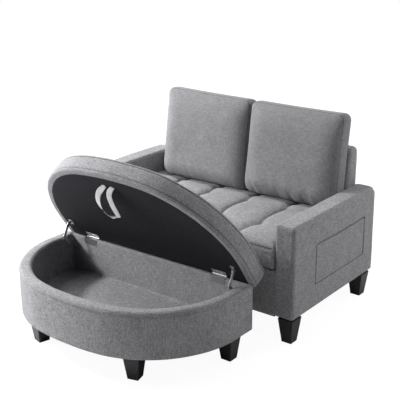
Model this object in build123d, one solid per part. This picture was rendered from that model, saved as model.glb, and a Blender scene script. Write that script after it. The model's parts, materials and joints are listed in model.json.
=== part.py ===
from build123d import *
import os
from math import atan2, cos, degrees, hypot, radians, sin

# A loveseat with a half-moon storage ottoman standing in front of it, the ottoman's lid open.
# Millimetres. +Z is up, +Y runs to the back of the sofa, +X to the right of someone facing it.
# The origin is on the floor, midway along the whole set's length and width.

# Sofa as a whole
sofa_width = 1420.0
sofa_depth = 780.0
arm_height = 582.0
arm_width = 106.0
back_height = 776.0
back_top_thickness = 87.0
back_low_thickness = 140.0
back_bend_height = 470.0

# Legs, the same on sofa and ottoman
leg_height = 122.0
leg_top = 82.0
leg_foot = 53.0
leg_edge_chamfer = 2.0
leg_bolt_radius = 4.0
leg_bolt_length = 56.0
leg_bolt_depth = 26.0
leg_nut_radius = 11.0
leg_nut_height = 6.0
rear_leg_setback = 31.0

# Cloth, padding and boards
cloth = 2.0
board = 22.0
hole_clearance = 0.2
soft_clearance = 0.5
cut_overrun = 10.0

# Arms
arm_edge_radius = 14.0
arm_pad_outer = 13.0
arm_pad_inner = 10.0
arm_pad_end = 12.0
arm_pad_top = 13.0
arm_post = 60.0
arm_foot_rail = 44.0
arm_mid_rail = 50.0
arm_top_rail = 30.0
arm_bolt_radius = 4.0
arm_bolt_head_radius = 9.0
arm_bolt_head = 5.0
arm_bolt_grip = 46.0
arm_bolt_height = 342.0
arm_bolt_inset = 130.0

# Side pockets, let into the padding of each arm's outer face
pocket_front = 197.0
pocket_length = 470.0
pocket_bottom = 244.0
pocket_height = 196.0
pocket_mouth = 9.0
pocket_depth = 8.0
pocket_patch = 2.2
pocket_hem = 6.0

# Seat base and its suspension
rail_pad = 10.0
rail_pad_radius = 7.0
rail_top = 354.0
side_rail_height = 110.0
beam_width = 44.0
beam_height = 60.0
long_strap_width = 60.0
long_strap_count = 7
cross_strap_count = 4

# Seat cushion with its biscuit tufting
seat_seam_height = 456.0
seat_crown = 21.0
seat_columns = 5
seat_rows = 3
seat_row_pitch = 233.0
seat_proud = 5.0
seat_edge_radius = 9.0
seat_lining = 13.0

# Backrest
back_front_radius = 26.0
back_rear_radius = 44.0
back_end_radius = 12.0
back_pad = 14.0
back_post = 50.0
back_rail = 60.0
back_bolt_height = 460.0

# Loose back cushions
cushion_width = 556.0
cushion_height = 486.0
cushion_boxing = 78.0
cushion_crown = 48.0
cushion_back_crown = 11.0
cushion_corner = 44.0
cushion_draw = 5.0
cushion_taper = 6.0
cushion_lean_deg = 8.0
cushion_side_gap = 0.5
cushion_gap = 4.0
cushion_back_gap = 13.0
cushion_sink = 4.2
cushion_lining = 26.0
crown_inset_shares = (0.0, 0.16, 0.38, 0.66)
crown_rise_shares = (0.0, 0.58, 0.88, 1.0)

# Ottoman body: a half moon whose straight side faces the sofa
ottoman_gap = 164.0
ottoman_shift = 16.0
moon_half = 586.0
moon_depth = 607.0
moon_side = 122.0
moon_corner = 477.0
body_corner_radius = 8.0
wall_pad = 16.0
wall_wood = 30.0
rim_width = 62.0
rim_base = 322.0
rim_top = 344.0
rim_radius = 18.0
rear_board = 17.0
rear_top = 340.0
floor_top = 156.0
floor_board = 12.0
ottoman_leg_spread = 295.0
ottoman_leg_front = 481.0
ottoman_leg_turn_deg = 15.0
ottoman_leg_side = 63.0
ottoman_leg_rear = 99.0
corner_block = 96.0

# Lid, drawn closed and then turned open about the hinge pins
lid_open_deg = 56.0
lid_overhang = 27.0
lid_setback = 22.0
lid_side_in = 2.0
lid_board = 12.0
lid_board_inset = 18.0
lid_panel_inset = 33.0
lid_band = 92.0
lid_crown = 14.0
lid_roll_radius = 18.0
lid_foam = 66.0
lid_crown_inset_shares = (0.0, 0.06, 0.16, 0.34)
lid_crown_rise_shares = (0.0, 0.5, 0.84, 1.0)

# Butt hinges
pin_height = 344.5
pin_radius = 1.6
knuckle_radius = 4.0
leaf = 1.5
hinge_width = 80.0
hinge_offset = 400.0
hinge_knuckles = 5
knuckle_gap = 0.4
leaf_reach = 28.0
leaf_drop = 29.0
screw_radius = 1.8
screw_head_radius = 3.6
screw_head = 1.2
screw_length = 11.0
screw_count = 3

# Folding lid stays; the pivots are placed from the hinge pins with the lid open
stay_plate = 2.0
stay_gap = 0.5
stay_half = 8.0
stay_rivet = 3.0
stay_rivet_head = 5.0
stay_rivet_cap = 1.2
running_clearance = 0.1
stay_open_clearance = 1.0
stay_lid_pivot = (57.9, 64.5)
stay_elbow = (89.2, 4.9)
stay_wall_pivot = (38.9, -60.5)
bracket_half = 9.0
bracket_drop = 30.0
bracket_screw_shares = (0.4, 0.9)
flange_width = 20.0
flange_half = 17.0
stay_screw_length = 30.0

# Webbing pull loop under the lid's front edge, hanging as it does while the lid is open
strap_thickness = 1.8
strap_start = 503.0
strap_length = 210.0
strap_centre = -12.0
strap_path_shares = ((0.0, 0.0), (0.04, 0.09), (0.2, 0.19), (0.38, 0.285), (0.6, 0.38))
strap_outer_shares = (
    (-0.181, 0.0), (-0.324, 0.125), (-0.371, 0.235), (-0.367, 0.325), (-0.319, 0.427),
    (-0.214, 0.519), (-0.062, 0.57), (0.176, 0.575), (0.348, 0.528),
)
strap_side_shares = ((0.348, 0.528), (0.262, 0.363), (0.157, 0.178), (0.152, 0.093), (0.21, 0.0))
strap_hole_shares = (
    (-0.029, 0.0), (-0.162, 0.111), (-0.195, 0.203), (-0.19, 0.294), (-0.148, 0.377),
    (-0.071, 0.462), (0.043, 0.525), (0.138, 0.543),
)
strap_hole_side_shares = (
    (0.138, 0.543), (0.186, 0.462), (0.133, 0.377), (0.057, 0.298), (0.0, 0.208), (-0.033, 0.125),
    (0.029, 0.0),
)

# Places worked out from the sizes above
half_width = sofa_width / 2
inner_half = half_width - arm_width
front_y = (ottoman_gap + moon_depth - sofa_depth) / 2
rear_y = front_y + sofa_depth
back_y = rear_y - back_low_thickness
back_top_y = rear_y - back_top_thickness
floor_of_frame = leg_height + cloth
side_rail_top = rail_top + cloth
seat_bottom = side_rail_top + cloth
moon_y = front_y - ottoman_gap
moon_inner = moon_half - rim_width
leaf_lift = pin_height - rear_top
front_radius = (
    (moon_half - moon_corner) ** 2 + (moon_depth - moon_side) ** 2 - moon_corner ** 2
) / (2 * (moon_depth - moon_side - moon_corner))
front_centre = front_radius - moon_depth
turn_deg = degrees(atan2(-moon_side - front_centre, moon_half - moon_corner))


def block(x0, x1, y0, y1, z0, z1):
    centre = Pos((x0 + x1) / 2, (y0 + y1) / 2, (z0 + z1) / 2)
    return centre * Box(x1 - x0, y1 - y0, z1 - z0)


def rod(radius, length, place, direction="Z"):
    turns = {"X": Rot(0, 90, 0), "Y": Rot(-90, 0, 0), "Z": Rot(0, 0, 0)}
    upright = Cylinder(radius, length, align=(Align.CENTER, Align.CENTER, Align.MIN))
    return Pos(*place) * turns[direction] * upright


def joined(pieces):
    whole = pieces[0]
    for piece in pieces[1:]:
        whole = whole + piece
    return whole


def group(pieces):
    return Compound(children=list(pieces))


def spaced(count, low, high):
    return [low + (high - low) * (i + 0.5) / count for i in range(count)]


def both_sides(piece):
    return [mirror(piece, about=Plane.YZ), piece]


# Legs
def leg():
    top = Plane.XY.offset(leg_height) * Rectangle(leg_top, leg_top)
    foot = Rectangle(leg_foot, leg_foot)
    body = loft([foot.face(), top.face()], ruled=True)
    flat = body.faces().sort_by(Axis.Z)
    level = flat[0].edges() + flat[-1].edges()
    body = chamfer([e for e in body.edges() if e not in level], leg_edge_chamfer)
    bore = rod(leg_bolt_radius + hole_clearance, leg_bolt_depth, (0, 0, leg_height - leg_bolt_depth))
    return body - bore


def leg_bolt():
    stud = rod(leg_bolt_radius, leg_bolt_length, (0, 0, leg_height - leg_bolt_depth))
    nut = rod(leg_nut_radius, leg_nut_height, (0, 0, floor_of_frame + board))
    return stud + nut


def leg_hole(reach):
    return rod(leg_bolt_radius + hole_clearance, reach, (0, 0, leg_height - cut_overrun))


def nut_pocket():
    return rod(leg_nut_radius + hole_clearance, leg_height, (0, 0, floor_of_frame + board))


leg_x = half_width - leg_top / 2
front_leg_y = front_y + leg_top / 2
rear_leg_y = rear_y - rear_leg_setback - leg_top / 2
sofa_leg_places = {
    "front_left_leg": Pos(-leg_x, front_leg_y, 0),
    "front_right_leg": Pos(leg_x, front_leg_y, 0),
    "rear_left_leg": Pos(-leg_x, rear_leg_y, 0),
    "rear_right_leg": Pos(leg_x, rear_leg_y, 0),
}


# Arms, drawn on the right and mirrored for the left
arm_bolt_ys = (front_y + arm_bolt_inset, back_y - arm_bolt_inset)
back_bolt_y = rear_y - arm_pad_end - arm_post / 2
arm_inner_face = inner_half + arm_pad_inner


def arm_cavity():
    return block(
        arm_inner_face, half_width - arm_pad_outer,
        front_y + arm_pad_end, rear_y - arm_pad_end,
        floor_of_frame, arm_height - arm_pad_top,
    )


def arm_bolt_holes():
    radius = arm_bolt_radius + hole_clearance
    reach = arm_bolt_grip + board
    places = [(y, arm_bolt_height) for y in arm_bolt_ys] + [(back_bolt_y, back_bolt_height)]
    return [rod(radius, reach, (inner_half - board, y, z), "X") for y, z in places]


def arm_leg_holes():
    places = [sofa_leg_places["front_right_leg"], sofa_leg_places["rear_right_leg"]]
    return [place * leg_hole(arm_foot_rail) for place in places]


def arm_cover():
    body = block(inner_half, half_width, front_y, rear_y, leg_height, arm_height)
    soft = body.edges().filter_by(Axis.Z) + body.faces().sort_by(Axis.Z)[-1].edges()
    body = fillet(soft, arm_edge_radius)
    body = body - arm_cavity() - pocket_recess()
    for hole in arm_bolt_holes() + arm_leg_holes():
        body = body - hole
    return body


def arm_frame():
    frame = arm_cavity()
    box = frame.bounding_box()
    low = box.min.Z + arm_foot_rail
    high = box.max.Z - arm_top_rail
    middle = (low + high) / 2
    bays = ((low, middle - arm_mid_rail / 2), (middle + arm_mid_rail / 2, high))
    for z0, z1 in bays:
        frame = frame - block(
            box.min.X - cut_overrun, box.max.X + cut_overrun,
            box.min.Y + arm_post, box.max.Y - arm_post, z0, z1,
        )
    for hole in arm_bolt_holes() + arm_leg_holes():
        frame = frame - hole
    for name in ("front_right_leg", "rear_right_leg"):
        frame = frame - sofa_leg_places[name] * nut_pocket()
    return frame


def arm_bolt(y):
    start = inner_half - board
    shank = rod(arm_bolt_radius, arm_bolt_grip + board, (start, y, arm_bolt_height), "X")
    place = (start - arm_bolt_head, y, arm_bolt_height)
    return shank + rod(arm_bolt_head_radius, arm_bolt_head, place, "X")


def back_stud():
    place = (inner_half - back_post, back_bolt_y, back_bolt_height)
    return rod(arm_bolt_radius, back_post + arm_bolt_grip, place, "X")


# Side pockets
pocket_y0 = front_y + pocket_front
pocket_y1 = pocket_y0 + pocket_length
pocket_top = pocket_bottom + pocket_height


def pocket_recess():
    return block(
        half_width - pocket_depth, half_width + cut_overrun,
        pocket_y0, pocket_y1, pocket_bottom, pocket_top + pocket_mouth,
    )


def side_pocket():
    bag = block(half_width - pocket_depth, half_width, pocket_y0, pocket_y1, pocket_bottom, pocket_top)
    inside = block(
        half_width - pocket_depth - cut_overrun, half_width - pocket_patch,
        pocket_y0 + pocket_hem, pocket_y1 - pocket_hem,
        pocket_bottom + pocket_hem, pocket_top + cut_overrun,
    )
    return bag - inside


# Seat base
board_front = front_y + rail_pad
board_rear = back_y - board


def front_rail_board():
    return block(-inner_half, inner_half, board_front, board_front + board, floor_of_frame, rail_top)


def rear_rail_board():
    return block(-inner_half, inner_half, board_rear, back_y, floor_of_frame, rail_top)


def side_rail_boards():
    side = block(
        inner_half - board, inner_half,
        board_front + board, board_rear,
        side_rail_top - side_rail_height, side_rail_top,
    )
    for hole in arm_bolt_holes():
        side = side - hole
    return group(both_sides(side))


def centre_beam():
    half = beam_width / 2
    return block(-half, half, board_front + board, board_rear, rail_top - beam_height, rail_top)


def front_rail_cover():
    pad = block(-inner_half, inner_half, front_y, board_front, leg_height, rail_top)
    front_edges = pad.faces().sort_by(Axis.Y)[0].edges().filter_by(Axis.X)
    return fillet(front_edges, rail_pad_radius)


def long_straps():
    half = long_strap_width / 2
    reach = inner_half - board
    places = spaced(long_strap_count, -reach, reach)
    return group(
        block(x - half, x + half, board_front, back_y, rail_top, rail_top + cloth) for x in places
    )


def cross_straps():
    half = long_strap_width / 2
    places = spaced(cross_strap_count, board_front + board, board_rear)
    return group(
        block(-inner_half, inner_half, y - half, y + half, side_rail_top, seat_bottom) for y in places
    )


def dust_cover():
    return block(-inner_half, inner_half, board_front, back_y, leg_height, floor_of_frame)


# Seat cushion: two rows of arches crossing at right angles leave a pillow in each cell
seat_half = inner_half - soft_clearance
seat_front = front_y - seat_proud
seat_rear = back_y - soft_clearance


def arches(count, low, high):
    pitch = (high - low) / count
    base = seat_seam_height - seat_lining
    lines = [Line((low, seat_seam_height), (low, base)), Line((low, base), (high, base))]
    lines.append(Line((high, base), (high, seat_seam_height)))
    for i in range(count):
        start = low + pitch * i
        lines.append(
            ThreePointArc(
                (start, seat_seam_height),
                (start + pitch / 2, seat_seam_height + seat_crown),
                (start + pitch, seat_seam_height),
            )
        )
    return make_face(lines)


def seat_foam():
    return block(
        -seat_half + seat_lining, seat_half - seat_lining,
        seat_front + seat_lining, seat_rear - seat_lining,
        seat_bottom + seat_lining, seat_seam_height - seat_lining,
    )


def seat_block(top):
    body = block(-seat_half, seat_half, seat_front, seat_rear, seat_bottom, top)
    corners = body.edges().filter_by(Axis.Z).sort_by(Axis.Y)[:2]
    return fillet(corners, seat_edge_radius)


def seat_cover():
    boxing = seat_block(seat_seam_height)
    underside = boxing.faces().sort_by(Axis.Z)[0].edges()
    boxing = fillet(underside, seat_edge_radius)
    across = Plane.XZ.offset(-seat_rear) * arches(seat_columns, -seat_half, seat_half)
    row_end = seat_front + seat_rows * seat_row_pitch
    along = Plane.YZ.offset(-seat_half) * arches(seat_rows, seat_front, row_end)
    ribs_across = extrude(across, seat_rear - seat_front)
    ribs_along = extrude(along, 2 * seat_half)
    top = seat_block(seat_seam_height + seat_crown) & ribs_across & ribs_along
    return boxing + top - seat_foam()


# Backrest
def back_profile(inset, top):
    points = [
        (back_y + inset, leg_height),
        (rear_y - inset, leg_height),
        (rear_y - inset, top),
        (back_top_y + inset, top),
        (back_y + inset, back_bend_height),
    ]
    return make_face(Polyline(*points, close=True))


def across_x(face, reach):
    return extrude(Plane.YZ.offset(-reach) * face, 2 * reach)


def backrest_cover():
    face = back_profile(0, back_height)
    face = fillet(face.vertices().sort_by(Axis.Y)[-2:].sort_by(Axis.X)[0], back_front_radius)
    face = fillet(face.vertices().sort_by(Axis.Y)[-2:].sort_by(Axis.X)[-1], back_rear_radius)
    body = across_x(face, inner_half)
    ends = body.faces().filter_by(Axis.X)
    rounded = [e for end in ends for e in end.edges() if e.center().Z > back_bend_height]
    return fillet(rounded, back_end_radius) - back_space() - back_bolt_holes()


def back_space():
    body = across_x(back_profile(back_pad, back_height - back_rear_radius), inner_half - back_pad)
    reach = inner_half
    return body - block(-reach, reach, back_y, rear_y, leg_height, floor_of_frame)


def back_bolt_holes():
    place = (inner_half - back_post, back_bolt_y, back_bolt_height)
    bolt = rod(arm_bolt_radius + hole_clearance, back_post, place, "X")
    return joined(both_sides(bolt))


def back_frame():
    frame = back_space()
    box = frame.bounding_box()
    middle = (box.min.Z + box.max.Z) / 2
    bays_x = ((box.min.X + back_post, -back_post / 2), (back_post / 2, box.max.X - back_post))
    bays_z = (
        (box.min.Z + back_rail, middle - back_rail / 2),
        (middle + back_rail / 2, box.max.Z - back_rail),
    )
    for x0, x1 in bays_x:
        for z0, z1 in bays_z:
            frame = frame - block(x0, x1, box.min.Y - cut_overrun, box.max.Y + cut_overrun, z0, z1)
    return frame - back_bolt_holes()


# Loose back cushions
def cushion_outline(inset, depth):
    half = cushion_width / 2 - inset
    top_half = half - cushion_taper
    low = inset
    high = cushion_height - inset
    middle = cushion_height / 2
    draw = cushion_draw * (1 - 2 * inset / cushion_height)
    sides = [
        ThreePointArc((-half, low), (0, low + draw / 2), (half, low)),
        ThreePointArc((half, low), (half - draw, middle), (top_half, high)),
        ThreePointArc((top_half, high), (0, high - draw), (-top_half, high)),
        ThreePointArc((-top_half, high), (-half + draw, middle), (-half, low)),
    ]
    face = make_face(sides)
    radius = cushion_corner - inset * cushion_corner / cushion_height
    face = fillet(face.vertices(), radius)
    return Plane.XZ.offset(depth) * face


def crown_sections(start, rise):
    reach = cushion_height / 2
    return [
        cushion_outline(reach * side, start + rise * up)
        for side, up in zip(crown_inset_shares, crown_rise_shares)
    ]


def cushion_form():
    seams = [cushion_outline(0, 0), cushion_outline(0, cushion_boxing)]
    boxing = loft(seams, ruled=True)
    front = loft(crown_sections(cushion_boxing, cushion_crown), ruled=True)
    back = loft(crown_sections(0, -cushion_back_crown), ruled=True)
    return boxing + front + back


def cushion_core():
    half = cushion_width / 2 - cushion_lining
    return block(
        -half, half, -cushion_boxing, 0,
        cushion_lining, cushion_height - cushion_lining,
    )


def cushion_place(side):
    x = inner_half - cushion_side_gap - cushion_width / 2
    if side == "left":
        x = x - cushion_width - cushion_gap
    lift = seat_seam_height + seat_crown - cushion_sink
    return Pos(x, back_y - cushion_back_gap, lift) * Rot(-cushion_lean_deg, 0, 0)


# Ottoman body
ottoman = Pos(ottoman_shift, moon_y, 0)


def moon(inset, rear):
    a = moon_half - inset
    cx = moon_half - moon_corner
    r = moon_corner - inset
    lines = [
        Line((-a, rear), (a, rear)),
        Line((a, rear), (a, -moon_side)),
        CenterArc((cx, -moon_side), r, 0, turn_deg),
        CenterArc((0, front_centre), front_radius - inset, turn_deg, -180 - 2 * turn_deg),
        CenterArc((-cx, -moon_side), r, -180 - turn_deg, turn_deg),
        Line((-a, -moon_side), (-a, rear)),
    ]
    return make_face(lines)


def moon_slab(inset, rear, z0, z1):
    return extrude(Pos(0, 0, z0) * moon(inset, rear), z1 - z0)


def ottoman_cover():
    body = moon_slab(0, 0, leg_height, rim_base)
    corners = body.edges().filter_by(Axis.Z).filter_by(lambda e: abs(e.center().Y) < cloth)
    body = fillet(corners, body_corner_radius)
    body = body - moon_slab(wall_pad, -cloth, floor_of_frame, rim_base + cut_overrun)
    inner = wall_pad + wall_wood
    body = body - moon_slab(inner, -cloth - rear_board, leg_height - cut_overrun, rim_base)
    back = block(-moon_inner, moon_inner, -cloth, 0, rim_base, rear_top)
    cap = block(-moon_inner, moon_inner, -cloth - rear_board, -cloth, rear_top - cloth, rear_top)
    return body + back + cap - ottoman_leg_holes()


def ottoman_wall():
    inner = wall_pad + wall_wood
    body = moon_slab(wall_pad, -cloth, floor_of_frame, rim_base)
    body = body - moon_slab(inner, cut_overrun, floor_of_frame - cut_overrun, rim_base + cut_overrun)
    return body - joined(stay_screw_holes())


def ottoman_rim():
    body = moon_slab(0, 0, rim_base, rim_top)
    corners = body.edges().filter_by(Axis.Z).filter_by(lambda e: abs(e.center().Y) < cloth)
    body = fillet(corners, body_corner_radius)
    body = body - moon_slab(rim_width, cut_overrun, rim_base - cut_overrun, rim_top + cut_overrun)
    long_edges = body.faces().sort_by(Axis.Z)[-1].edges()
    long_edges = long_edges.filter_by(lambda e: e.center().Y < -body_corner_radius)
    return fillet(long_edges, rim_radius)


def ottoman_back_board():
    reach = moon_half - wall_pad - wall_wood
    low = block(-reach, reach, -cloth - rear_board, -cloth, floor_of_frame, rim_base)
    high = block(-moon_inner, moon_inner, -cloth - rear_board, -cloth, rim_base, rear_top - cloth)
    return low + high - joined(base_screw_holes())


def ottoman_lining():
    wood = wall_pad + wall_wood
    rear = -cloth - rear_board
    bottom = floor_top - cloth
    skin = moon_slab(wood, rear, bottom, rim_base)
    skin = skin + block(-moon_inner, moon_inner, rear - cloth, rear, rim_base, rear_top)
    skin = skin - moon_slab(rim_width, rear - cloth, floor_top, rim_base + cut_overrun)
    return skin - joined(base_screw_holes() + stay_screw_holes())


def ottoman_leg_holes():
    return joined([place * leg_hole(board + board) for place in ottoman_leg_places.values()])


def ottoman_floor():
    top = floor_top - cloth
    body = moon_slab(wall_pad + wall_wood, -cloth - rear_board, top - floor_board, top)
    pockets = joined([place * nut_pocket() for place in ottoman_leg_places.values()])
    return body - (pockets + ottoman_leg_holes())


def ottoman_corner_blocks():
    top = floor_top - cloth - floor_board
    inside = moon_slab(wall_pad + wall_wood, -cloth - rear_board, floor_of_frame, top)
    half = corner_block / 2
    blocks = []
    for place in ottoman_leg_places.values():
        piece = place * block(-half, half, -half, half, floor_of_frame, top) & inside
        blocks.append(piece - place * leg_hole(board + board))
    return group(blocks)


def ottoman_dust_cover():
    body = moon_slab(wall_pad + wall_wood, -cloth - rear_board, leg_height, floor_of_frame)
    return body - ottoman_leg_holes()


ottoman_side_leg = moon_half - ottoman_leg_side
ottoman_leg_places = {
    "ottoman_front_left_leg": Pos(-ottoman_leg_spread, -ottoman_leg_front, 0)
    * Rot(0, 0, -ottoman_leg_turn_deg),
    "ottoman_front_right_leg": Pos(ottoman_leg_spread, -ottoman_leg_front, 0)
    * Rot(0, 0, ottoman_leg_turn_deg),
    "ottoman_rear_left_leg": Pos(-ottoman_side_leg, -ottoman_leg_rear, 0),
    "ottoman_rear_right_leg": Pos(ottoman_side_leg, -ottoman_leg_rear, 0),
}


# Hinges: the base leaf folds over the back board's edge, the lid leaf lies on the lid's underside
lid_under = pin_height + leaf_lift
inner_face = -cloth - rear_board - cloth
leaf_start = -knuckle_radius - knuckle_gap
hinge_half = hinge_width / 2
hinge_places = (Pos(-hinge_offset, 0, 0), Pos(hinge_offset, 0, 0))
lid_turn = Pos(0, 0, pin_height) * Rot(-lid_open_deg, 0, 0) * Pos(0, 0, -pin_height)


def knuckles(first, z0, z1):
    pitch = hinge_width / hinge_knuckles
    pieces = []
    for i in range(first, hinge_knuckles, 2):
        x0 = -hinge_half + pitch * i + knuckle_gap / 2
        length = pitch - knuckle_gap
        pieces.append(rod(knuckle_radius, length, (x0, 0, pin_height), "X"))
        pieces.append(block(x0, x0 + length, leaf_start, 0, z0, z1))
    bore = rod(pin_radius + running_clearance, hinge_width, (-hinge_half, 0, pin_height), "X")
    return joined(pieces) - bore


def hinge_base_leaf():
    top = block(-hinge_half, hinge_half, inner_face - leaf, leaf_start, rear_top, rear_top + leaf)
    drop = rear_top - leaf_drop
    side = block(-hinge_half, hinge_half, inner_face - leaf, inner_face, drop, rear_top)
    body = top + side + knuckles(0, rear_top, rear_top + leaf)
    return body - joined(base_screw_holes())


def hinge_lid_leaf():
    flat = block(-hinge_half, hinge_half, -leaf_reach, leaf_start, lid_under - leaf, lid_under)
    body = flat + knuckles(1, lid_under - leaf, lid_under)
    return body - joined(lid_screw_holes())


def hinge_pin():
    return rod(pin_radius, hinge_width, (-hinge_half, 0, pin_height), "X")


# Screws; each hole is a rod a little thicker than its screw
def screw(length):
    head = rod(screw_head_radius, screw_head, (0, 0, -screw_head))
    return rod(screw_radius, length, (0, 0, 0)) + head


def screw_hole(length):
    return rod(screw_radius + hole_clearance, length + screw_head, (0, 0, -screw_head))


def base_screw_places():
    place_z = rear_top - leaf_drop / 2
    return [
        Pos(x, inner_face - leaf, place_z) * Rot(-90, 0, 0)
        for x in spaced(screw_count, -hinge_half, hinge_half)
    ]


def lid_screw_places():
    place_y = (leaf_start - leaf_reach) / 2
    return [
        Pos(x, place_y, lid_under - leaf)
        for x in spaced(screw_count, -hinge_half, hinge_half)
    ]


def base_screw_holes():
    holes = [place * screw_hole(screw_length) for place in base_screw_places()]
    return [side * hole for side in hinge_places + (Pos(0, 0, 0),) for hole in holes]


def lid_screw_holes():
    holes = [place * screw_hole(screw_length) for place in lid_screw_places()]
    return [side * hole for side in hinge_places + (Pos(0, 0, 0),) for hole in holes]


# Folding stays, drawn on the right with the lid open
bracket_x = moon_inner - stay_plate
arm_x = bracket_x - stay_gap - stay_plate
link_x = arm_x - stay_gap - stay_plate
lid_plate_x = link_x - stay_gap - stay_plate


def from_pin(point):
    return (-point[0], pin_height + point[1])


def bar(a, b, half, x0):
    length = hypot(b[0] - a[0], b[1] - a[1])
    angle = degrees(atan2(b[1] - a[1], b[0] - a[0]))
    middle = Pos((a[0] + b[0]) / 2, (a[1] + b[1]) / 2) * Rot(0, 0, angle)
    return extrude(Plane.YZ.offset(x0) * middle * SlotCenterToCenter(length, 2 * half), stay_plate)


def pivot_hole(point, radius):
    return rod(radius, moon_half, (0, point[0], point[1]), "X")


def rivet(point, x0, x1, head_x):
    shank = rod(stay_rivet, x1 - x0, (x0, point[0], point[1]), "X")
    return shank + rod(stay_rivet_head, stay_rivet_cap, (head_x, point[0], point[1]), "X")


lid_pivot = from_pin(stay_lid_pivot)
elbow = from_pin(stay_elbow)
wall_pivot = from_pin(stay_wall_pivot)


def stay_arm():
    plate = bar(wall_pivot, elbow, stay_half, arm_x)
    plate = plate - pivot_hole(wall_pivot, stay_rivet + running_clearance)
    gap = stay_gap / 2
    return plate + rivet(elbow, link_x - gap, arm_x, link_x - gap - stay_rivet_cap)


def stay_link():
    plate = bar(lid_pivot, elbow, stay_half, link_x)
    plate = plate - pivot_hole(lid_pivot, stay_rivet + running_clearance)
    return plate - pivot_hole(elbow, stay_rivet + stay_open_clearance)


def stay_screw_places():
    y, z = wall_pivot
    return [
        Pos(bracket_x, y, z - bracket_drop * share) * Rot(0, 90, 0) for share in bracket_screw_shares
    ]


def stay_screw_holes():
    holes = [place * screw_hole(stay_screw_length) for place in stay_screw_places()]
    return holes + [mirror(hole, about=Plane.YZ) for hole in holes]


def stay_wall_bracket():
    y, z = wall_pivot
    plate = bar(wall_pivot, (y, z - bracket_drop), bracket_half, bracket_x)
    plate = plate - joined(stay_screw_holes())
    gap = stay_gap / 2
    return plate + rivet(wall_pivot, arm_x - gap, bracket_x, arm_x - gap - stay_rivet_cap)


def closed_point(point):
    turn = radians(lid_open_deg)
    y, z = point[0], point[1] - pin_height
    return (y * cos(turn) - z * sin(turn), pin_height + y * sin(turn) + z * cos(turn))


def stay_flange_screw_places():
    y, z = closed_point(lid_pivot)
    x = lid_plate_x - flange_width / 2
    spread = flange_half - screw_head_radius - leaf
    return [Pos(x, y + side * spread, lid_under - stay_plate) for side in (-1, 1)]


def stay_flange_screw_holes():
    holes = [place * screw_hole(screw_length) for place in stay_flange_screw_places()]
    return holes + [mirror(hole, about=Plane.YZ) for hole in holes]


def stay_lid_bracket():
    point = closed_point(lid_pivot)
    y, z = point
    x1 = lid_plate_x + stay_plate
    web = block(lid_plate_x, x1, y - bracket_half, y + bracket_half, z, lid_under)
    disc = rod(bracket_half, stay_plate, (lid_plate_x, y, z), "X")
    x0 = lid_plate_x - flange_width
    flange = block(x0, x1, y - flange_half, y + flange_half, lid_under - stay_plate, lid_under)
    gap = stay_gap / 2
    head_x = link_x + stay_plate + gap
    body = web + disc + flange + rivet(point, x1, head_x, head_x)
    return body - joined(stay_flange_screw_holes())


# Lid, drawn closed
lid_shift = lid_setback - lid_side_in
lid_rear = lid_overhang - lid_shift


def lid_outline(inset):
    return Pos(0, lid_shift, 0) * moon(lid_side_in + inset, lid_rear - inset)


def lid_slab(inset, z0, z1):
    return extrude(Pos(0, 0, z0) * lid_outline(inset), z1 - z0)


lid_board_z = lid_under + cloth
lid_foam_z = lid_board_z + lid_board
lid_seam_z = lid_under + lid_band


def lid_board_piece():
    body = lid_slab(lid_board_inset, lid_board_z, lid_foam_z)
    return body - joined(lid_screw_holes() + stay_flange_screw_holes())


def lid_foam_piece():
    return lid_slab(lid_board_inset, lid_foam_z, lid_foam_z + lid_foam)


def lid_panel():
    body = lid_slab(lid_panel_inset, lid_under, lid_board_z)
    return body - joined(lid_screw_holes() + stay_flange_screw_holes())


def lid_cover():
    band = lid_slab(0, lid_under, lid_seam_z)
    band = fillet(band.faces().sort_by(Axis.Z)[0].edges(), lid_roll_radius)
    crown = loft(
        [
            Pos(0, 0, lid_seam_z + lid_crown * up) * lid_outline(moon_depth * side / 2)
            for side, up in zip(lid_crown_inset_shares, lid_crown_rise_shares)
        ],
        ruled=True,
    )
    body = band + crown - lid_slab(lid_board_inset, lid_board_z, lid_foam_z + lid_foam)
    return body - lid_slab(lid_panel_inset, lid_under - cut_overrun, lid_board_z)


# Pull loop: a hanging sheet of webbing, cut in plan to the two bowed bands that meet at the tip
def ribbon(points, thickness):
    shifted = []
    for i, (y, z) in enumerate(points):
        before = points[max(i - 1, 0)]
        after = points[min(i + 1, len(points) - 1)]
        run = hypot(after[0] - before[0], after[1] - before[1])
        dy = thickness * (after[1] - before[1]) / run
        dz = thickness * (before[0] - after[0]) / run
        shifted.append((y + dy, z + dz))
    start = (shifted[0][0], points[0][1])
    shifted[0] = start
    return make_face(
        [Spline(*points), Line(points[-1], shifted[-1]), Spline(*shifted), Line(start, points[0])]
    )


def strap_plan(long_shares, short_shares):
    root = -strap_start - 2 * strap_thickness
    curves = []
    for shares in (long_shares, short_shares):
        curves.append(Spline(*[(strap_length * a, strap_length * b - strap_start) for a, b in shares]))
    first = curves[0] @ 0
    last = curves[1] @ 1
    curves.append(Polyline((last.X, last.Y), (last.X, root), (first.X, root), (first.X, first.Y)))
    return make_face(curves)


def pull_loop():
    points = [
        (-strap_start + strap_length * a, lid_under - strap_length * b) for a, b in strap_path_shares
    ]
    sheet = across_x(ribbon(points, strap_thickness), strap_length / 2)
    bands = strap_plan(strap_outer_shares, strap_side_shares)
    bands = bands - strap_plan(strap_hole_shares, strap_hole_side_shares)
    cutter = extrude(Pos(0, 0, lid_under - strap_length) * bands, strap_length)
    return Pos(strap_centre, 0, 0) * (sheet & cutter)


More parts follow.
